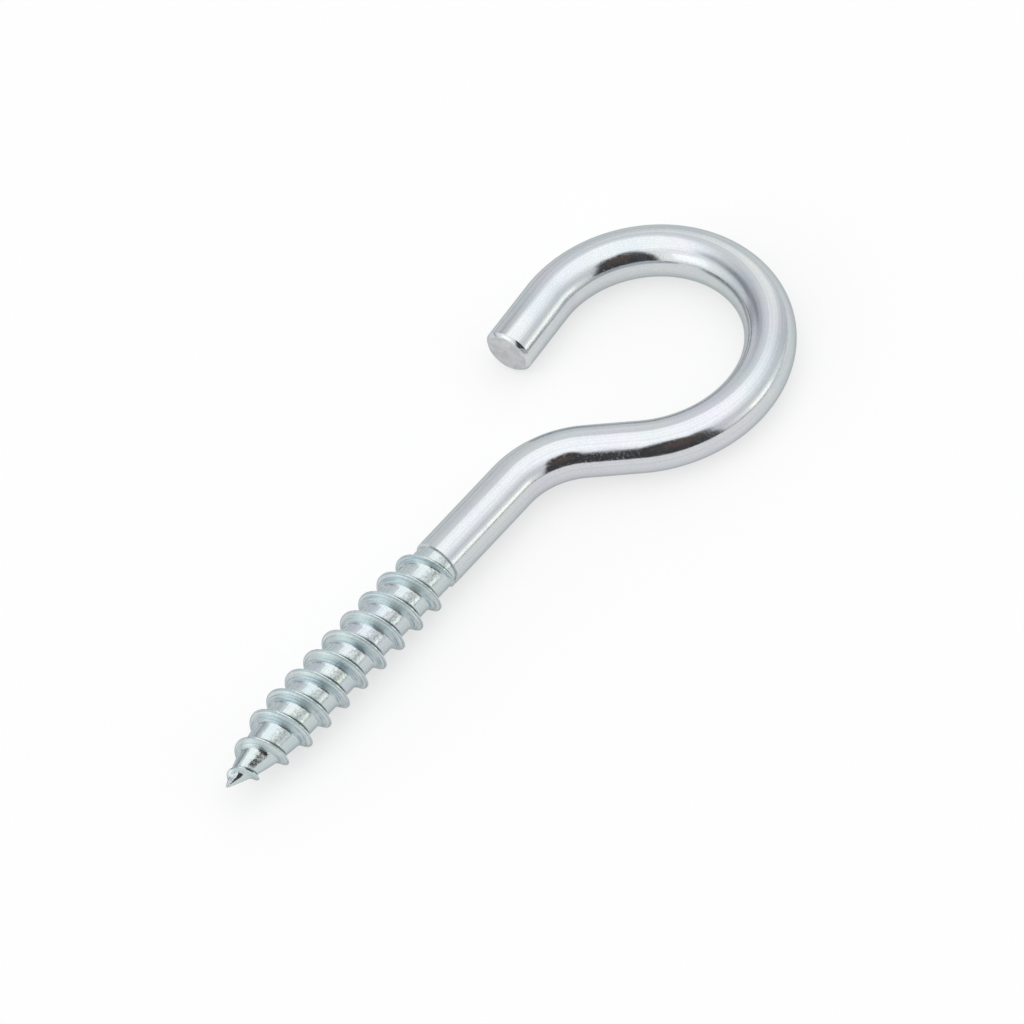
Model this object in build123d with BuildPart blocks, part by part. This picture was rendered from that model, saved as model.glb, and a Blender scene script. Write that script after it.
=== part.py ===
"""Screw hook: one steel wire with a rolled wood-screw thread and a point at one end, and an open
eye bent at the other. It lies on its side as it comes to rest: a crest of the thread and the
crown of the eye touch the ground. Millimetres and degrees, +Z up, the screw along X with its
point towards -X."""

from build123d import *

import os
from math import acos, atan2, ceil, cos, degrees, floor, hypot, radians, sin, sqrt

# The wire and its bends, each radius to the middle of the wire
wire_diameter = 6.5
shank_length = 55.3  # straight wire, from the point to the neck
neck_radius = 11.5
neck_run = 6.9  # straight wire between the neck and the eye
eye_radius = 16.0  # from the neck round to the crown
mouth_radius = 14.9  # from the crown round to the mouth
mouth_angle = 86.0
end_run = 3.4  # straight wire before the cut end
end_rim = 0.45  # edge broken at the cut end

# The rolled screw
thread_length = 40.5  # from the point to the line where the rolling dies ended
thread_diameter = 8.1
root_diameter = 5.9
pitch = 3.55
crest_width = 0.14
leading_flank = 0.78  # along the axis, on the side of the point
trailing_flank = 1.08  # along the axis, on the side of the eye
first_pass = 4.79  # from the point to where an even ridge first passes the underside
die_mismatch = 0.3  # the dies, a little out of step, push the ridge to and fro by this much
run_out = 3.2  # length over which the last of the ridge sinks back into the core
run_out_power = 0.7  # below 1 the ridge keeps its height for longer
die_step = 0.15  # slope from the root up to the bare wire

# The point
point_length = 13.0  # from the tip to where core and crests reach their full size
nose_length = 6.0  # where the slope at the tip would reach the full radius
tip_radius = 0.15
first_crest = 0.25  # height of the crest over the core at the tip
point_lead = 0.9  # the ridge lies this much nearer to the tip, up to the start of the even lead
lead_grows = 4.5
lead_even = 9.5
ridge_start = 1.9  # where the ridge begins, before it is moved by the point's lead
pinch_length = 3.2  # flats left where the blank was pinched off
pinch_tip = 0.1  # from the axis to each flat at the tip
pinch_count = 4

# How closely the ridge is followed, how deep it is rooted and where it ends under the surface
sections_per_turn = 10
ridge_rooting = 0.3
ridge_sink = 0.1

# Worked out from the sizes above
wire_radius = wire_diameter / 2
root_radius = root_diameter / 2
crest_radius = thread_diameter / 2
full_crests = thread_length - run_out

# The eye's centre lies on the screw's axis, which settles how far the neck turns
both_bends = neck_radius + eye_radius
neck_turn = acos(neck_radius / hypot(both_bends, neck_run)) - atan2(neck_run, both_bends)
neck_angle = degrees(neck_turn)
eye_centre = shank_length + both_bends * sin(neck_turn) + neck_run * cos(neck_turn)
crown = eye_centre + eye_radius

# At rest the last full crest under the axis and the wire at the crown touch the ground
last_pass = first_pass + pitch * floor((full_crests - first_pass) / pitch)
span = crown - last_pass
tilt = acos(wire_radius / hypot(crest_radius, span)) - atan2(span, crest_radius)
tip_height = last_pass * sin(tilt) + crest_radius * cos(tilt)

underside = 270  # direction of the underside round the axis

# The hook's own plane, so placed that the origin is on the ground under the hook's middle
middle_x = (crown * cos(tilt) + wire_radius) / 2
mouth_turn = radians(min(mouth_angle, 90))
mouth_side = (mouth_radius + wire_radius) * sin(mouth_turn) + end_run * cos(mouth_turn)
middle_y = (mouth_side - eye_radius - wire_radius) / 2
lay = Plane(
    origin=(-middle_x, -middle_y, tip_height),
    x_dir=(cos(tilt), 0, -sin(tilt)),
    z_dir=(sin(tilt), 0, cos(tilt)),
)


def side_plane(turned):
    """Plane through the screw's axis, its y direction turned so far round from the hook's own."""
    outward = lay.y_dir * cos(radians(turned)) + lay.z_dir * sin(radians(turned))
    return Plane(origin=lay.origin, x_dir=lay.x_dir, z_dir=lay.x_dir.cross(outward))


def nose(x, full_radius, start_radius):
    """Radius at x from the tip, on a curve that starts steep and ends along the axis."""
    if x >= point_length:
        return full_radius
    slack = point_length - 2 * nose_length
    along = x / (nose_length + sqrt(nose_length**2 + slack * x))
    return full_radius - (full_radius - start_radius) * (1 - along) ** 2


def ridge_section(x):
    """Section of the ridge through the axis, where an even ridge's crest is x from the tip."""
    turned = underside + 360 * (x - first_pass) / pitch
    fade = min(1, (thread_length - x) / run_out) ** run_out_power
    x -= point_lead * min(1, max(0, (lead_even - x) / (lead_even - lead_grows)))
    x -= die_mismatch * cos(radians(turned))
    core = nose(x, root_radius, tip_radius)
    crest = nose(x, crest_radius, tip_radius + first_crest)
    top = core + (crest - core) * fade - ridge_sink * (1 - fade)
    foot = core - ridge_rooting
    depth = (top - foot) / (crest_radius - root_radius)
    half = crest_width / 2
    with BuildSketch(side_plane(turned)) as section:
        with BuildLine():
            Polyline(
                (x - half - leading_flank * depth, foot),
                (x - half, top),
                (x + half, top),
                (x + half + trailing_flank * depth, foot),
                close=True,
            )
        make_face()
    return section.sketch


def ridge_sections(start, end):
    """Sections of the ridge from start to end, evenly spaced."""
    count = ceil((end - start) / pitch * sections_per_turn)
    return [ridge_section(start + (end - start) * i / count) for i in range(count + 1)]


def pinch_plane(i):
    """Plane of one flat of the point, which meets the core's surface at the pinch length."""
    side = side_plane(360 / pinch_count * i)
    slope = atan2(nose(pinch_length, root_radius, tip_radius) - pinch_tip, pinch_length)
    return Plane(
        origin=side.from_local_coords((0, pinch_tip, 0)),
        z_dir=side.y_dir * cos(slope) - side.x_dir * sin(slope),
    )


with BuildPart() as screw_hook:
    # Core of the screw: the curved point, the straight root, and the step up to the bare wire
    with BuildSketch(lay):
        with BuildLine():
            Line((0, 0), (0, tip_radius))
            Bezier((0, tip_radius), (nose_length, root_radius), (point_length, root_radius))
            Polyline(
                (point_length, root_radius),
                (thread_length, root_radius),
                (thread_length + die_step, wire_radius),
                (shank_length, wire_radius),
                (shank_length, 0),
                (0, 0),
            )
        make_face()
    revolve(axis=Axis(lay.origin, lay.x_dir))
    for i in range(pinch_count):
        split(bisect_by=pinch_plane(i), keep=Keep.BOTTOM)

    # The ridge: growing over the point, at its full height, and running out
    loft(ridge_sections(ridge_start, point_length))
    loft(ridge_sections(point_length, full_crests))
    loft(ridge_sections(full_crests, thread_length))

    # The neck and the open eye
    with BuildLine(lay) as bends:
        neck = JernArc((shank_length, 0), (1, 0), neck_radius, -neck_angle)
        rise = Line(neck @ 1, neck @ 1 + (neck % 1) * neck_run)
        eye = JernArc(rise @ 1, rise % 1, eye_radius, 90 + neck_angle)
        mouth = JernArc(eye @ 1, eye % 1, mouth_radius, mouth_angle)
        end = Line(mouth @ 1, mouth @ 1 + (mouth % 1) * end_run)
    with BuildSketch(Plane(origin=bends.line @ 0, z_dir=lay.x_dir)):
        Circle(wire_radius)
    sweep(path=bends.line)
    cut_end = screw_hook.faces().filter_by(GeomType.PLANE).sort_by_distance(bends.line @ 1)[0]
    chamfer(cut_end.edges(), end_rim)

screw_hook.part.label = "screw_hook"
os.makedirs("parts", exist_ok=True)
export_step(screw_hook.part, "parts/screw_hook.step")
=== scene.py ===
from math import acos, atan2, cos, floor, hypot, pi, radians, sin, sqrt

import bmesh
import bpy
from bpy.props import (
    FloatProperty,
    FloatVectorProperty,
    IntProperty,
    PointerProperty,
)
from mathutils import Matrix, Vector


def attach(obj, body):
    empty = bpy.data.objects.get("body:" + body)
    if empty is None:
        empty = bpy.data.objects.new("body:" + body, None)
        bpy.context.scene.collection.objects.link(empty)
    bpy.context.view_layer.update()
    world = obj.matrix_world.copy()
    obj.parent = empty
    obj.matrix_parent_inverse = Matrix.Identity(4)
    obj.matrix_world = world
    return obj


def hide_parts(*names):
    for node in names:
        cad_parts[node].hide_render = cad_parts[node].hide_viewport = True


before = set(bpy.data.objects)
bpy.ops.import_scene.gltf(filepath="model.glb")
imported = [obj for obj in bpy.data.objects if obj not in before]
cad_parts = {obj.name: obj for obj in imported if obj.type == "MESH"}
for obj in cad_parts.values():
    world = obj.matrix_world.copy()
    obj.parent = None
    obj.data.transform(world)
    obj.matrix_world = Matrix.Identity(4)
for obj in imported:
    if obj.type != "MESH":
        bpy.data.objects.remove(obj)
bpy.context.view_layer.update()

bl_info = {
    "name": "Screw hook",
    "version": (1, 0, 0),
    "blender": (4, 5, 0),
    "location": "3D View > Sidebar > Screw hook",
    "description": "Builds an open-eye screw hook with its zinc finish, its stage and its camera",
    "category": "Add Mesh",
}

# The room's light at the walls and overhead, and the elevations between which it rises
ROOM_WALLS = (0.84, 0.85, 0.88)
ROOM_TOP = (1.42, 1.42, 1.44)
ROOM_RISE = (28, 66)

# Zones of the room: centre as azimuth and elevation, half width and height, soft edge as a
# share of those, and colour. Azimuth is from +X round to +Y; all in degrees.
ROOM_ZONES = (
    ((-58, 9), (25, 12), 0.7, (1.16, 1.16, 1.10)),
    ((167, 23), (37, 25), 0.7, (1.30, 1.29, 1.27)),
    ((22, 31), (20, 14), 0.7, (1.20, 1.19, 1.17)),
    ((-14, 14), (14, 15), 0.8, (0.74, 0.75, 0.77)),
    ((82, 50), (44, 12), 0.7, (0.82, 0.83, 0.86)),
    ((78, 36), (15, 13), 0.8, (0.60, 0.61, 0.64)),
    ((125, 50), (17, 8), 0.8, (0.62, 0.62, 0.67)),
    ((106, 40), (18, 8), 0.7, (0.36, 0.37, 0.41)),
    ((93, 31), (13, 7), 0.7, (0.24, 0.25, 0.28)),
    ((93, 12), (8, 22), 0.8, (0.52, 0.53, 0.57)),
    ((118, 0), (62, 5), 0.5, (0.34, 0.36, 0.37)),
    ((-62, 0.8), (38, 2.0), 0.5, (0.30, 0.29, 0.27)),
    ((-103, 40), (8, 12), 0.4, (0.12, 0.11, 0.10)),
    ((-127, 0), (34, 58), 0.1, (0.06, 0.06, 0.064)),
    ((-120, 34), (13, 13), 0.8, (0.12, 0.088, 0.078)),
)

# Lamps: name, azimuth, elevation, distance, size and power, in degrees, metres and watts
LAMPS = (
    ("front_lamp", -58, 10, 1.3, (0.5, 0.3), 0.15),
    ("left_lamp", 165, 26, 1.4, (0.8, 0.6), 0.45),
)

# Each of these fades in where its noise runs from the first value to the second
COOL_PATCHES = (0.42, 0.62)
LILAC_PATCHES = (0.45, 0.65)
DULL_PATCHES = (0.35, 0.65)
# Painted dark reflection on the root, in specks
DARK_REFLECTION_SPECKS = (0.47, 0.58)
SPECKS = (0.5, 0.72)

# The flanks' painted dark reflection lines fade out where their noise runs from the first value
# to the second
FLANK_LINES = (0.42, 0.52)

# Usual limits of the noise, and what grains and drawing lines do to the shade between them
NOISE_LIMITS = (0.3, 0.7)
GRAIN_SHADE = (0.95, 1.05)
LINE_SHADE = (0.94, 1.06)

# Scale of the lilac patches against the clouds, and of the specks against the grains
PATCH_SCALE = 0.45
SPECK_SCALE = 0.8

# Roughness of the noise of pits and grains
ROUGH_NOISE = 0.6

# Lines on the flanks: how fast they change round the screw and up the flank, and their scale
LINES_ROUND = 260.0
LINES_UP = 6.0
LINES_SCALE = 1.3

# Heights on the leading flank between which its painted shade begins and turns to a painted
# highlight
FLANK_FOOT = (0.01, 0.08)
FLANK_TOP = (0.55, 0.88)

# Directions round the screw where the flanks' painted shade is bluish and where the root's
# painted dark reflection lies, and their edges as the cosine of the angle away from them
PAINTED_SHADE_WAY = (0, -0.26, 0.97)
PAINTED_SHADE_EDGE = (0.5, 0.85)
DARK_REFLECTION_WAY = (0, -0.643, 0.766)
DARK_REFLECTION_EDGE = (0.945, 0.985)

# From the tip, where the flanks' painted shade reaches full strength, and its strength before that
PAINTED_SHADE_GROWS = (0.003, 0.01)
PAINTED_SHADE_AT_TIP = 0.35

# Edges of the rolled surface and of the duller line at the step
ROLLED_EDGE = 0.0001
STEP_EDGE = (0.00012, 0.0002)

# Places this near are one; the underside's angle round the screw; from flat to flat at the point
NEAR = 1e-6
UNDERSIDE = 1.5 * pi
FLAT_ANGLE = pi / 2

# The ridge's flanks keep this share of their width where it is low
LEAST_WIDTH = 0.2

# Edges sharper than this are shaded as edges
SHARP_ANGLE = radians(33)


def length(name, default, description):
    """A length in metres, shown with enough digits for a hundredth of a millimetre."""
    return FloatProperty(
        name=name, description=description, default=default, min=0, precision=5, unit="LENGTH"
    )


def share(name, default, description):
    """A number from 0 to 1."""
    return FloatProperty(
        name=name, description=description, default=default, min=0, max=1, subtype="FACTOR"
    )


def colour(name, default, description):
    """A colour with its three channels."""
    return FloatVectorProperty(
        name=name, description=description, default=default, size=3, min=0, max=1, subtype="COLOR"
    )


class HookSizes(bpy.types.PropertyGroup):
    """Sizes of the wire, its bends, the thread and the point"""

    wire_diameter: length("Wire diameter", 0.0065, "Thickness of the bare wire")
    shank_length: length("Shank length", 0.0553, "Straight wire from the point to the neck")
    neck_radius: length("Neck radius", 0.0115, "Bend of the neck, to the middle of the wire")
    neck_run: length("Neck run", 0.0069, "Straight wire between the neck and the eye")
    eye_radius: length("Eye radius", 0.016, "Bend from the neck round to the crown")
    mouth_radius: length("Mouth radius", 0.0149, "Bend from the crown round to the mouth")
    mouth_angle: FloatProperty(
        name="Mouth angle",
        description="Turn of the wire from the crown to the mouth",
        default=radians(96),
        subtype="ANGLE",
    )
    end_run: length("End run", 0.0093, "Straight wire before the cut end")
    end_rim: length("End rim", 0.00045, "Width of the broken edge at the cut end")
    mouth_side: length("Mouth side", 0.018343, "From the screw's axis to the box's mouth side")
    rim_softness: length("Rim softness", 0.00007, "Rounding of the rim's own two edges")

    thread_length: length("Thread length", 0.0405, "From the point to the end of the rolling")
    thread_diameter: length("Thread diameter", 0.0081, "Over the crests")
    root_diameter: length("Root diameter", 0.0059, "At the root of the thread")
    pitch: length("Pitch", 0.00355, "From one crest to the next")
    crest_width: length("Crest width", 0.00014, "Flat along the top of the ridge")
    leading_foot: length("Leading foot", 0.00115, "Flank on the side of the point, along the axis")
    trailing_foot: length("Trailing foot", 0.00082, "Flank on the side of the eye, along the axis")
    leading_hollow: FloatProperty(
        name="Leading hollow",
        description="Above 1 the flank is hollow and runs smoothly into the root",
        default=1.6,
        min=1,
        max=3,
    )
    trailing_hollow: FloatProperty(
        name="Trailing hollow",
        description="Above 1 the flank is hollow and runs smoothly into the root",
        default=2.0,
        min=1,
        max=3,
    )
    first_pass: length("First pass", 0.00479, "Where an even ridge first passes the underside")
    die_mismatch: length("Die mismatch", 0.0003, "How far the ridge runs to and fro")
    run_out: length("Run-out", 0.0032, "Length over which the ridge sinks into the core")
    run_out_power: FloatProperty(
        name="Run-out power",
        description="Below 1 the ridge keeps its height for longer",
        default=1.0,
        min=0.1,
        max=3,
    )
    die_step: length("Die step", 0.00015, "Slope from the root up to the bare wire")

    point_length: length("Point length", 0.013, "From the tip to the full root and crests")
    nose_length: length("Nose length", 0.006, "Where the first slope would reach the full radius")
    tip_radius: length("Tip radius", 0.00015, "Radius of the core at the tip")
    first_crest: length("First crest", 0.00025, "Height of the crest over the core at the tip")
    point_lead: length("Point lead", 0.0009, "How much nearer to the tip the ridge lies there")
    lead_grows: length("Lead grows", 0.0045, "From the tip to where the point's lead ends")
    lead_even: length("Lead even", 0.0095, "From the tip to where the ridge runs evenly")
    ridge_start: length("Ridge start", 0.0019, "From the tip to the first of an even ridge")
    ridge_growth: length("Ridge growth", 0.0006, "Length over which the ridge first rises")
    pinch_length: length("Pinch length", 0.0032, "Length of the flats of the point")
    pinch_tip: length("Pinch tip", 0.0001, "From the axis to each flat at the tip")

    steps_round: IntProperty(
        name="Steps round", description="Steps in a full turn of the thread", default=96, min=24
    )
    flank_steps: IntProperty(
        name="Flank steps", description="Faces across one flank of the thread", default=7, min=2
    )
    root_steps: IntProperty(
        name="Root steps", description="Faces across half of the root", default=3, min=1
    )
    bend_steps: IntProperty(
        name="Bend steps", description="Steps in a full turn of a bend", default=200, min=36
    )


class HookFinish(bpy.types.PropertyGroup):
    """Colours and surface of the zinc plate, and the painted shade, highlight and reflections on
    the thread
    """

    zinc: colour("Zinc", (0.615, 0.64, 0.645), "Plain zinc plate")
    cool_tint: colour("Cool tint", (0.585, 0.63, 0.65), "Plate where its film is bluish")
    lilac_tint: colour("Lilac tint", (0.63, 0.625, 0.675), "Plate where its film is lilac")
    # Painted shade, dark reflection lines and highlight on the leading flanks
    flank_dark_reflection: colour("Flank dark", (0.31, 0.43, 0.50), "Painted dark reflection lines along the leading flanks")
    flank_painted_shade: colour("Flank shade", (0.49, 0.60, 0.605), "Painted bluish shade where the flanks face up")
    flank_painted_shade_side: colour("Flank side", (0.61, 0.64, 0.635), "Lighter painted shade on their two sides")
    flank_painted_highlight: colour("Flank highlight", (0.80, 0.82, 0.81), "Painted highlight on the leading flanks near the crest")
    rolled_tint: colour("Rolled tint", (0.92, 0.98, 0.97), "Colour that the rolled screw adds")
    # Painted dark reflection on the rolled root
    dark_reflection_tint: colour("Dark reflection tint", (0.38, 0.365, 0.30), "Painted dark reflection, in specks, on the rolled root")
    cut_dark: colour("Cut dark", (0.54, 0.55, 0.56), "Duller patches of the sheared end")
    cut_tint: colour("Cut tint", (0.66, 0.665, 0.67), "Plate on the sheared end")
    grazing_tint: colour("Grazing tint", (0.60, 0.64, 0.63), "Plate seen at a low angle")
    lilac_strength: share("Lilac strength", 0.8, "Of the lilac patches")
    dark_reflection_strength: share("Dark reflection strength", 0.62, "Of the painted dark reflection")
    flank_roughness: share("Flank roughness", 0.38, "On the leading flanks")
    flank_metal: share("Flank metal", 0.76, "How far the painted flanks reflect as metal")
    step_metal: share("Step metal", 0.6, "The same at the step where the dies ended")
    cut_roughness: share("Cut roughness", 0.42, "On the sheared end")
    speck_roughness: share("Speck roughness", 0.27, "On the small dull specks")
    roughness_low: share("Lowest roughness", 0.07, "Where the plate is brightest")
    roughness_high: share("Highest roughness", 0.15, "Where the plate is dull")
    cloud_size: length("Cloud size", 0.004, "Size of the patches of tint")
    speckle_size: length("Speckle size", 0.00018, "Size of the grains of the plate")
    speckle_depth: length("Speckle depth", 0.0000028, "Height of the grains of the plate")
    pit_size: length("Pit size", 0.00034, "Size of the pits of the rolled screw")
    pit_depth: length("Pit depth", 0.000026, "Depth of the pits of the rolled screw")
    wave_size: length("Wave size", 0.0011, "Size of the soft waves of the surface")
    wave_depth: length("Wave depth", 0.000005, "Height of the soft waves of the surface")
    line_width: length("Line width", 0.00025, "Width of the drawing lines along the wire")
    line_depth: length("Line depth", 0.0000013, "Depth of the drawing lines")


class HookStage(bpy.types.PropertyGroup):
    """Floor, lamps and camera"""

    floor_size: length("Floor size", 6.0, "Side of the floor")
    floor_colour: colour("Floor colour", (0.965, 0.965, 0.96), "White paper")
    floor_glow: share("Floor glow", 0.62, "How far the paper shows as plain white")
    camera_place: FloatVectorProperty(
        name="Camera place",
        description="Where the camera stands in the row frame",
        default=(-0.509094, -0.594891, 0.941165),
        size=3,
        precision=6,
        subtype="TRANSLATION",
        unit="LENGTH",
    )
    camera_turn: FloatVectorProperty(
        name="Camera turn",
        description="How the camera is turned",
        default=(radians(39.0529), radians(8.6722), radians(-51.2859)),
        size=3,
        subtype="EULER",
        unit="ROTATION",
    )
    focal_length: FloatProperty(
        name="Focal length", description="In millimetres, on a 36 mm sensor", default=351.07
    )


class Bends:
    """Places and angles that follow from the sizes."""

    def __init__(self, s):
        self.wire = s.wire_diameter / 2
        self.root = s.root_diameter / 2
        self.crest = s.thread_diameter / 2
        self.full_crests = s.thread_length - s.run_out
        both = s.neck_radius + s.eye_radius
        self.neck_turn = acos(s.neck_radius / hypot(both, s.neck_run)) - atan2(s.neck_run, both)
        along = both * sin(self.neck_turn) + s.neck_run * cos(self.neck_turn)
        crown = s.shank_length + along + s.eye_radius
        passes = floor((self.full_crests - s.first_pass) / s.pitch)
        last_pass = s.first_pass + s.pitch * passes
        span = crown - last_pass
        tilt = acos(self.wire / hypot(self.crest, span)) - atan2(span, self.crest)
        height = last_pass * sin(tilt) + self.crest * cos(tilt)
        middle_x = (crown * cos(tilt) + self.wire) / 2
        middle_y = (s.mouth_side - s.eye_radius - self.wire) / 2
        self.lay = Matrix.Translation((-middle_x, -middle_y, height)) @ Matrix.Rotation(
            tilt, 4, "Y"
        )


def nose(s, x, full, start):
    """Radius at x from the tip, on a curve that starts steep and ends along the axis."""
    x = max(0, x)
    if x >= s.point_length:
        return full
    slack = s.point_length - 2 * s.nose_length
    along = x / (s.nose_length + sqrt(s.nose_length**2 + slack * x))
    return full - (full - start) * (1 - along) ** 2


def ridge_profile(s):
    """Places across one pitch of the thread, from the crest, so that its faces follow the ridge."""
    half = s.crest_width / 2
    root = (s.pitch - s.crest_width - s.leading_foot - s.trailing_foot) / 2
    front = -half - s.leading_foot
    back = half + s.trailing_foot
    places = [front - root * (1 - i / s.root_steps) for i in range(s.root_steps)]
    places += [front + s.leading_foot * i / s.flank_steps for i in range(s.flank_steps)]
    places += [-half, 0, half]
    places += [half + s.trailing_foot * (i + 1) / s.flank_steps for i in range(s.flank_steps)]
    places += [back + root * (i + 1) / s.root_steps for i in range(s.root_steps)]
    return places


def shape_thread(bm, s, b):
    """Give each vertex of the plain helical band its place on the core, a flank or the crest."""
    half = s.crest_width / 2
    root = (s.pitch - s.crest_width - s.leading_foot - s.trailing_foot) / 2
    first = -half - s.leading_foot - root
    flank_layer = bm.verts.layers.float.new("leading_flank")
    around_layer = bm.verts.layers.float_vector.new("around")
    flat_slope = (nose(s, s.pinch_length, b.root, s.tip_radius) - s.pinch_tip) / s.pinch_length

    def moved(x, angle):
        """Where the dies brought a place of an even thread."""
        lead = min(1, max(0, (s.lead_even - x) / (s.lead_even - s.lead_grows)))
        return x - s.point_lead * lead - s.die_mismatch * cos(angle)

    for v in bm.verts:
        x, angle = v.co.x, atan2(v.co.z, v.co.y)
        turned = ((angle - UNDERSIDE) / (2 * pi)) % 1
        base = s.first_pass + s.pitch * turned
        ridge = base + s.pitch * floor((x - base - first + NEAR) / s.pitch)
        offset = x - ridge
        top = moved(ridge, angle)
        core = nose(s, top, b.root, s.tip_radius)
        crest = nose(s, top, b.crest, s.tip_radius + s.first_crest)
        fade = min(1, max(0, (s.thread_length - ridge) / s.run_out)) ** s.run_out_power
        fade *= min(1, max(0, (ridge - s.ridge_start) / s.ridge_growth))
        rise = (crest - core) * fade
        narrow = max(LEAST_WIDTH, rise / (b.crest - b.root))
        foot = s.leading_foot if offset < 0 else s.trailing_foot
        hollow = s.leading_hollow if offset < 0 else s.trailing_hollow
        beyond = abs(offset) - half
        side = -1 if offset < 0 else 1
        if beyond <= NEAR:
            height, x = 1, top + offset
        elif beyond <= foot + NEAR:
            height = max(0, 1 - beyond / foot) ** hollow
            x = top + side * (half + beyond * narrow)
            if side < 0:
                v[flank_layer] = height * fade
        else:
            height = 0
            x = top + side * (half + foot * narrow)
            middle = moved(ridge + side * (half + foot + root), angle)
            x += (middle - x) * (beyond - foot) / root
        radius = nose(s, x, b.root, s.tip_radius)
        if x < s.pinch_length:
            off_flat = (angle + FLAT_ANGLE / 2) % FLAT_ANGLE - FLAT_ANGLE / 2
            radius = min(radius, (s.pinch_tip + flat_slope * max(0, x)) / cos(off_flat))
        radius += height * rise
        v.co = (x, radius * cos(angle), radius * sin(angle))
        v[around_layer] = (0, b.wire * cos(angle), b.wire * sin(angle))


def cut(bm, x, **side):
    """Cut the mesh square across at x, drop one side, and return the open edges at the cut."""
    bmesh.ops.bisect_plane(
        bm,
        geom=bm.verts[:] + bm.edges[:] + bm.faces[:],
        dist=NEAR / 10,
        plane_co=(x, 0, 0),
        plane_no=(1, 0, 0),
        **side,
    )
    return [
        e for e in bm.edges if e.is_boundary and all(abs(v.co.x - x) < NEAR for v in e.verts)
    ]


def corners(edges):
    """Vertices of the edges, each once."""
    return list({v for e in edges for v in e.verts})


def pull(bm, edges, step):
    """Extrude a ring of open edges by a step and return the new ring."""
    made = bmesh.ops.extrude_edge_only(bm, edges=edges)["geom"]
    verts = {g for g in made if isinstance(g, bmesh.types.BMVert)}
    bmesh.ops.translate(bm, vec=step, verts=list(verts))
    return [g for g in made if isinstance(g, bmesh.types.BMEdge) and verts.issuperset(g.verts)]


def narrow_ring(bm, edges, centre, factor):
    """Scale a ring about its centre."""
    bmesh.ops.scale(
        bm,
        vec=(factor,) * 3,
        space=Matrix.Translation(-centre),
        verts=corners(edges),
    )


def bend(bm, edges, centre, angle, steps_in_turn):
    """Spin a ring round an upright axis and return the last ring."""
    made = bmesh.ops.spin(
        bm,
        geom=corners(edges) + edges,
        cent=centre,
        axis=(0, 0, 1),
        angle=angle,
        steps=round(abs(angle) / (2 * pi) * steps_in_turn),
    )["geom_last"]
    return [g for g in made if isinstance(g, bmesh.types.BMEdge)]


def model_hook(s):
    """The whole hook as one closed mesh in the row frame."""
    b = Bends(s)
    bm = bmesh.new()

    # One pitch of the root's surface, spun one turn up the screw and repeated, from two turns
    # before the first pass of the underside to past the end of the rolling
    start = s.first_pass - 2 * s.pitch
    line = [bm.verts.new((start + place, 0, -b.root)) for place in ridge_profile(s)]
    edges = [bm.edges.new(pair) for pair in zip(line, line[1:])]
    bmesh.ops.spin(
        bm,
        geom=line + edges,
        cent=(0, 0, 0),
        axis=(1, 0, 0),
        dvec=(s.pitch / s.steps_round, 0, 0),
        angle=2 * pi,
        steps=s.steps_round,
    )
    turn = bm.verts[:] + bm.edges[:] + bm.faces[:]
    for i in range(1, int((s.thread_length - start) / s.pitch) + 2):
        copy = bmesh.ops.duplicate(bm, geom=turn)["geom"]
        verts = [g for g in copy if isinstance(g, bmesh.types.BMVert)]
        bmesh.ops.translate(bm, vec=(s.pitch * i, 0, 0), verts=verts)
    bmesh.ops.remove_doubles(bm, verts=bm.verts[:], dist=NEAR)
    shape_thread(bm, s, b)

    # The tip, and the step up to the bare wire
    bmesh.ops.contextual_create(bm, geom=cut(bm, 0, clear_inner=True))
    ring = cut(bm, s.thread_length, clear_outer=True)
    ring = pull(bm, ring, (s.die_step, 0, 0))
    narrow_ring(bm, ring, Vector((s.thread_length + s.die_step, 0, 0)), b.wire / b.root)
    ring = pull(bm, ring, (s.shank_length - s.thread_length - s.die_step, 0, 0))

    # Neck, rise, eye and mouth, each round its own centre
    here, way = Vector((s.shank_length, 0, 0)), Vector((1, 0, 0))
    for radius, angle, run in (
        (s.neck_radius, -b.neck_turn, s.neck_run),
        (s.eye_radius, pi / 2 + b.neck_turn, 0),
        (s.mouth_radius, s.mouth_angle, s.end_run - s.end_rim),
    ):
        side = 1 if angle > 0 else -1
        centre = here + Vector((-way.y, way.x, 0)) * radius * side
        ring = bend(bm, ring, centre, angle, s.bend_steps)
        swing = Matrix.Rotation(angle, 3, "Z")
        here, way = centre + swing @ (here - centre), swing @ way
        if run:
            ring = pull(bm, ring, way * run)
            here = here + way * run

    # The cut end, its edge broken
    rim = list(ring)
    ring = pull(bm, ring, way * s.end_rim)
    narrow_ring(bm, ring, here + way * s.end_rim, 1 - s.end_rim / b.wire)
    bmesh.ops.contextual_create(bm, geom=ring)
    bmesh.ops.bevel(
        bm,
        geom=rim + ring,
        offset=s.rim_softness,
        offset_type="OFFSET",
        segments=2,
        profile=0.5,
        affect="EDGES",
        clamp_overlap=True,
        material=-1,
    )

    bmesh.ops.transform(bm, matrix=b.lay, verts=bm.verts[:])
    bmesh.ops.recalc_face_normals(bm, faces=bm.faces[:])
    open_edges = [e for e in bm.edges if not e.is_manifold]
    if open_edges:
        raise RuntimeError(f"the hook's mesh has {len(open_edges)} open edges")
    cut_layer = bm.faces.layers.float.new("cut_end")
    end = b.lay @ (here + way * s.end_rim)
    min(bm.faces, key=lambda face: (face.calc_center_median() - end).length)[cut_layer] = 1
    mesh = bpy.data.meshes.new("screw_hook_plated")
    bm.to_mesh(mesh)
    bm.free()
    mesh.shade_smooth()
    mesh.set_sharp_from_angle(angle=SHARP_ANGLE)
    return mesh


def feed(tree, socket, value):
    """Link an output into a socket, or set the socket's own value."""
    if isinstance(value, bpy.types.NodeSocket):
        tree.links.new(value, socket)
    else:
        socket.default_value = value


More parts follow.
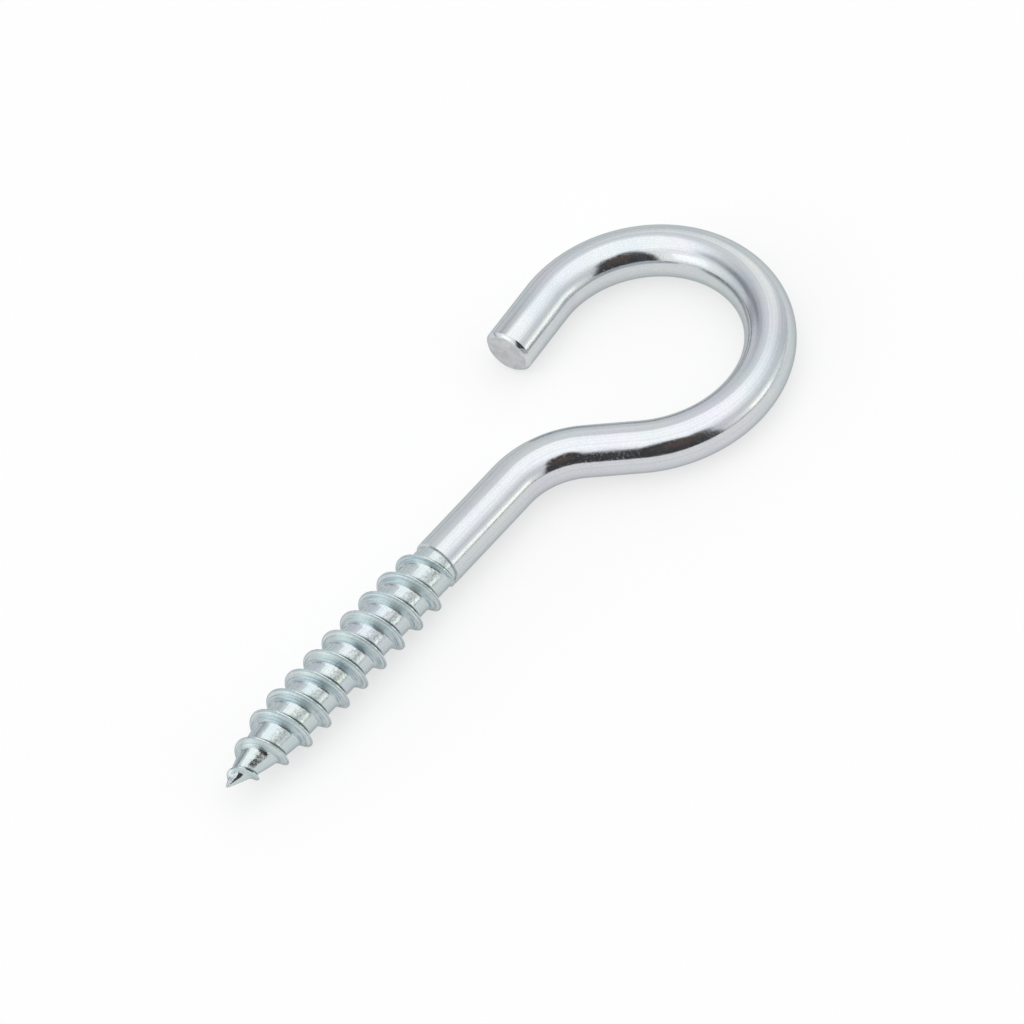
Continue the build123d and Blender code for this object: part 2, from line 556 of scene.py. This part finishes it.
def add(tree, kind, inputs=None, **settings):
    """A shader node with its settings, and each input given a value or a link."""
    made = tree.nodes.new(kind)
    for key, value in settings.items():
        setattr(made, key, value)
    for key, value in (inputs or {}).items():
        feed(tree, made.inputs[key], value)
    return made


def maths(tree, operation, *values):
    """Result of one calculation on outputs and numbers."""
    made = add(tree, "ShaderNodeMath", dict(enumerate(values)), operation=operation)
    return made.outputs[0]


def vector_maths(tree, operation, *values):
    """The same for vectors; gives both outputs of the node."""
    made = add(tree, "ShaderNodeVectorMath", dict(enumerate(values)), operation=operation)
    return made.outputs


def mix(tree, factor, first, second, blend_type="MIX"):
    """Colour mixed from two: the node's inputs 6 and 7, and its output 2."""
    made = add(tree, "ShaderNodeMix", {0: factor}, data_type="RGBA", blend_type=blend_type)
    for key, value in ((6, first), (7, second)):
        linked = isinstance(value, bpy.types.NodeSocket)
        feed(tree, made.inputs[key], value if linked else (*value, 1))
    return made.outputs[2]


def between(tree, factor, first, second):
    """Number mixed from two: the node's inputs 2 and 3."""
    made = add(tree, "ShaderNodeMix", {0: factor, 2: first, 3: second}, data_type="FLOAT")
    return made.outputs[0]


def ranged(tree, value, limits, low=0.0, high=1.0, **settings):
    """A value stretched to run from low to high between two limits, and kept within them."""
    inputs = {"Value": value, "From Min": limits[0], "From Max": limits[1]}
    inputs |= {"To Min": low, "To Max": high}
    return add(tree, "ShaderNodeMapRange", inputs, **settings).outputs["Result"]


def noise(tree, vector, scale, detail, roughness=0.5):
    """Soft noise, mostly from 0.3 to 0.7."""
    inputs = {"Vector": vector, "Scale": scale, "Detail": detail, "Roughness": roughness}
    return add(tree, "ShaderNodeTexNoise", inputs).outputs["Fac"]


def bumped(tree, height, depth, normal=None):
    """Normal of a surface raised by noise, on top of an earlier bump."""
    inputs = {"Height": height, "Distance": depth, "Strength": 1.0}
    if normal is not None:
        inputs["Normal"] = normal
    return add(tree, "ShaderNodeBump", inputs).outputs["Normal"]


def new_material(name):
    """An empty material and its node tree."""
    material = bpy.data.materials.new(name)
    material.use_nodes = True
    material.node_tree.nodes.clear()
    return material, material.node_tree


def lines_on_flank(tree, place, flank):
    """Lines that follow the ridge: quick changes up the flank, slow ones round the screw."""
    slow = vector_maths(tree, "MULTIPLY", place, (LINES_ROUND,) * 3)["Vector"]
    quick = maths(tree, "MULTIPLY", flank, LINES_UP)
    quick = add(tree, "ShaderNodeCombineXYZ", {"X": quick}).outputs[0]
    return noise(tree, vector_maths(tree, "ADD", slow, quick)["Vector"], LINES_SCALE, 3.0)


def zinc_material(f, s):
    """Bright zinc plate: patches of tint, grains, faint lines along the drawn wire, and painted
    shade, highlight and reflections on the thread.
    """
    lay = Bends(s).lay
    wire = s.wire_diameter / 2
    tip_x, die_x = lay.translation.x, (lay @ Vector((s.thread_length, 0, 0))).x
    material, tree = new_material("zinc_plate")

    def towards(way, limits):
        """How far a place round the screw lies towards a direction."""
        side = vector_maths(tree, "DOT_PRODUCT", around, way)["Value"]
        return ranged(tree, side, [limit * wire for limit in limits])

    place = add(tree, "ShaderNodeTexCoord").outputs["Object"]
    along = add(tree, "ShaderNodeSeparateXYZ", {"Vector": place}).outputs["X"]
    around = add(tree, "ShaderNodeAttribute", attribute_name="around").outputs["Vector"]
    flank = add(tree, "ShaderNodeAttribute", attribute_name="leading_flank").outputs["Fac"]
    sheared = add(tree, "ShaderNodeAttribute", attribute_name="cut_end").outputs["Fac"]
    cloud = noise(tree, place, 1 / f.cloud_size, 3.0)
    patch = noise(tree, place, PATCH_SCALE / f.cloud_size, 2.0)
    wave = noise(tree, place, 1 / f.wave_size, 1.0)
    pit = noise(tree, place, 1 / f.pit_size, 2.0, ROUGH_NOISE)
    grain = noise(tree, place, 1 / f.speckle_size, 2.0, ROUGH_NOISE)
    speck = noise(tree, place, SPECK_SCALE / f.speckle_size, 1.0)
    lines = noise(tree, around, 1 / f.line_width, 2.0)
    rolled = ranged(tree, along, (die_x, die_x - ROLLED_EDGE))

    # Plain plate with its patches, and the rolled screw with a painted dark reflection, in specks,
    # on its root
    base = mix(tree, ranged(tree, cloud, COOL_PATCHES), f.zinc, f.cool_tint)
    lilac = ranged(tree, patch, LILAC_PATCHES, high=f.lilac_strength)
    base = mix(tree, lilac, base, f.lilac_tint)
    # Painted dark reflection on the root: specks in one band round the screw, darker and yellowish
    dark_reflection = ranged(tree, pit, DARK_REFLECTION_SPECKS, high=f.dark_reflection_strength)
    dark_reflection = maths(tree, "MULTIPLY", dark_reflection, rolled)
    dark_reflection = maths(tree, "MULTIPLY", dark_reflection, towards(DARK_REFLECTION_WAY, DARK_REFLECTION_EDGE))
    base = mix(tree, dark_reflection, base, f.dark_reflection_tint)
    base = mix(tree, rolled, base, f.rolled_tint, "MULTIPLY")

    # Painted teal shade on the leading flanks, with painted dark reflection lines and a painted
    # highlight near the crest, fainter over the point
    flank_paint = mix(tree, towards(PAINTED_SHADE_WAY, PAINTED_SHADE_EDGE), f.flank_painted_shade_side, f.flank_painted_shade)
    off_line = ranged(tree, lines_on_flank(tree, place, flank), FLANK_LINES)
    flank_paint = mix(tree, off_line, f.flank_dark_reflection, flank_paint)
    flank_paint = mix(tree, ranged(tree, flank, FLANK_TOP), flank_paint, f.flank_painted_highlight)
    grown = ranged(tree, along, [tip_x + x for x in PAINTED_SHADE_GROWS], PAINTED_SHADE_AT_TIP)
    flank_paint_mask = maths(tree, "MULTIPLY", ranged(tree, flank, FLANK_FOOT), grown)
    base = mix(tree, flank_paint_mask, base, flank_paint)

    # The sheared end, and a faint change of shade in all of it
    end = mix(tree, ranged(tree, wave, DULL_PATCHES), f.cut_tint, f.cut_dark)
    base = mix(tree, sheared, base, end)
    shade = ranged(tree, grain, NOISE_LIMITS, *GRAIN_SHADE)
    streak = ranged(tree, lines, NOISE_LIMITS, *LINE_SHADE)
    base = mix(tree, 1.0, base, maths(tree, "MULTIPLY", shade, streak), "MULTIPLY")

    rough = ranged(tree, cloud, DULL_PATCHES, f.roughness_low, f.roughness_high)
    rough = between(tree, ranged(tree, speck, SPECKS), rough, f.speck_roughness)
    rough = between(tree, flank_paint_mask, rough, f.flank_roughness)
    rough = between(tree, sheared, rough, f.cut_roughness)

    off_step = maths(tree, "ABSOLUTE", maths(tree, "SUBTRACT", along, die_x + s.die_step / 2))
    metal = between(tree, flank_paint_mask, 1.0, f.flank_metal)
    metal = between(tree, ranged(tree, off_step, STEP_EDGE, 1.0, 0.0), metal, f.step_metal)

    normal = bumped(tree, wave, f.wave_depth)
    normal = bumped(tree, grain, f.speckle_depth, normal)
    normal = bumped(tree, pit, between(tree, rolled, 0.0, f.pit_depth), normal)
    normal = bumped(tree, lines, f.line_depth, normal)
    shader = add(
        tree,
        "ShaderNodeBsdfPrincipled",
        {
            "Base Color": base,
            "Metallic": metal,
            "Specular Tint": (*f.grazing_tint, 1),
            "Roughness": rough,
            "Normal": normal,
        },
    )
    add(tree, "ShaderNodeOutputMaterial", {"Surface": shader.outputs["BSDF"]})
    return material


def paper_material(tint, glow):
    """Paper that keeps a soft shadow, and shows whiter to the camera and in the metal."""
    material, tree = new_material("white_paper")
    paper = add(
        tree,
        "ShaderNodeBsdfPrincipled",
        {"Base Color": (*tint, 1), "Roughness": 0.9, "Specular IOR Level": 0.0},
    )
    white = add(tree, "ShaderNodeEmission", {"Color": (1, 1, 1, 1), "Strength": 1.0})
    path = add(tree, "ShaderNodeLightPath").outputs
    seen = maths(tree, "MAXIMUM", path["Is Camera Ray"], path["Is Glossy Ray"])
    seen = maths(tree, "MAXIMUM", seen, path["Is Transmission Ray"])
    seen = maths(tree, "MULTIPLY", seen, glow)
    shader = add(
        tree, "ShaderNodeMixShader", {0: seen, 1: paper.outputs[0], 2: white.outputs[0]}
    )
    add(tree, "ShaderNodeOutputMaterial", {"Surface": shader.outputs[0]})
    return material


def floor_object(size, material):
    """A square floor on the ground."""
    bm = bmesh.new()
    bmesh.ops.create_grid(bm, x_segments=1, y_segments=1, size=size / 2)
    mesh = bpy.data.meshes.new("floor")
    bm.to_mesh(mesh)
    bm.free()
    mesh.materials.append(material)
    made = bpy.data.objects.new("floor", mesh)
    bpy.context.scene.collection.objects.link(made)
    return made


def heading(azimuth, elevation):
    """Unit vector towards an azimuth, from +X round to +Y, and an elevation, in degrees."""
    a, e = radians(azimuth), radians(elevation)
    return Vector((cos(a) * cos(e), sin(a) * cos(e), sin(e)))


def area_lamp(name, azimuth, elevation, distance, size, power):
    """A soft lamp that looks at the hook."""
    data = bpy.data.lights.new(name, "AREA")
    data.shape = "RECTANGLE"
    data.size, data.size_y = size
    data.energy = power
    lamp = bpy.data.objects.new(name, data)
    lamp.location = heading(azimuth, elevation) * distance
    lamp.rotation_mode = "QUATERNION"
    lamp.rotation_quaternion = heading(azimuth, elevation).to_track_quat("Z", "Y")
    bpy.context.scene.collection.objects.link(lamp)


def room_world(scene):
    """The room as soft light: brighter overhead, with its bright and dark zones."""
    world = bpy.data.worlds.new("studio_room")
    scene.world = world
    world.use_nodes = True
    tree = world.node_tree
    tree.nodes.clear()
    way = add(tree, "ShaderNodeTexCoord").outputs["Generated"]
    way = add(tree, "ShaderNodeSeparateXYZ", {"Vector": way}).outputs
    azimuth = maths(tree, "ARCTAN2", way["Y"], way["X"])
    elevation = maths(tree, "ARCSINE", way["Z"])
    spot = add(tree, "ShaderNodeCombineXYZ", {"X": azimuth, "Y": elevation}).outputs[0]
    soft = {"interpolation_type": "SMOOTHSTEP"}
    rise = ranged(tree, elevation, [radians(angle) for angle in ROOM_RISE], **soft)
    light = mix(tree, rise, ROOM_WALLS, ROOM_TOP)
    for at, half, edge, tint in ROOM_ZONES:
        centre = (radians(at[0]), radians(at[1]), 0)
        reach = (radians(half[0]), radians(half[1]), 1)
        off = vector_maths(tree, "SUBTRACT", spot, centre)["Vector"]
        off = vector_maths(tree, "WRAP", off, (pi,) * 3, (-pi,) * 3)["Vector"]
        off = vector_maths(tree, "DIVIDE", off, reach)["Vector"]
        off = vector_maths(tree, "LENGTH", off)["Value"]
        light = mix(tree, ranged(tree, off, (1 + edge, 1 - edge), **soft), light, tint)
    back = add(tree, "ShaderNodeBackground", {"Color": light})
    add(tree, "ShaderNodeOutputWorld", {"Surface": back.outputs["Background"]})


class SCREWHOOK_OT_hook(bpy.types.Operator):
    """Model the plated hook in the row frame and let it stand for the CAD solid"""

    bl_idname = "screwhook.hook"
    bl_label = "Screw hook"

    def execute(self, context):
        mesh = model_hook(context.scene.hook_sizes)
        mesh.materials.append(zinc_material(context.scene.hook_finish, context.scene.hook_sizes))
        hook = bpy.data.objects.new("screw_hook_plated", mesh)
        context.scene.collection.objects.link(hook)
        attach(hook, "root")
        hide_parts("screw_hook")
        return {"FINISHED"}


class SCREWHOOK_OT_stage(bpy.types.Operator):
    """Set up the floor, the soft light and the camera"""

    bl_idname = "screwhook.stage"
    bl_label = "Stage"

    def execute(self, context):
        scene, g = context.scene, context.scene.hook_stage
        paper = paper_material(g.floor_colour, g.floor_glow)
        floor_object(g.floor_size, paper)
        for lamp in LAMPS:
            area_lamp(*lamp)
        room_world(scene)
        data = bpy.data.cameras.new("photo_camera")
        data.lens = g.focal_length
        data.sensor_width = 36
        data.clip_start, data.clip_end = 0.05, 20
        camera = bpy.data.objects.new("photo_camera", data)
        camera.location = g.camera_place
        camera.rotation_euler = g.camera_turn
        scene.collection.objects.link(camera)
        scene.camera = camera
        scene.view_settings.view_transform = "Standard"
        return {"FINISHED"}


class SCREWHOOK_PT_panel(bpy.types.Panel):
    """Sizes, finish and stage of the screw hook"""

    bl_idname = "SCREWHOOK_PT_panel"
    bl_label = "Screw hook"
    bl_space_type = "VIEW_3D"
    bl_region_type = "UI"
    bl_category = "Screw hook"

    def draw(self, context):
        layout = self.layout
        for group, operator in (
            (context.scene.hook_sizes, None),
            (context.scene.hook_finish, "screwhook.hook"),
            (context.scene.hook_stage, "screwhook.stage"),
        ):
            column = layout.column(align=True)
            for name in group.__annotations__:
                column.prop(group, name)
            if operator:
                layout.operator(operator)


CLASSES = (
    HookSizes,
    HookFinish,
    HookStage,
    SCREWHOOK_OT_hook,
    SCREWHOOK_OT_stage,
    SCREWHOOK_PT_panel,
)


def register():
    for item in CLASSES:
        bpy.utils.register_class(item)
    bpy.types.Scene.hook_sizes = PointerProperty(type=HookSizes)
    bpy.types.Scene.hook_finish = PointerProperty(type=HookFinish)
    bpy.types.Scene.hook_stage = PointerProperty(type=HookStage)


def unregister():
    del bpy.types.Scene.hook_stage
    del bpy.types.Scene.hook_finish
    del bpy.types.Scene.hook_sizes
    for item in reversed(CLASSES):
        bpy.utils.unregister_class(item)


def main():
    """Build everything in order."""
    register()
    bpy.ops.screwhook.hook()
    bpy.ops.screwhook.stage()


if __name__ == "__main__":
    main()
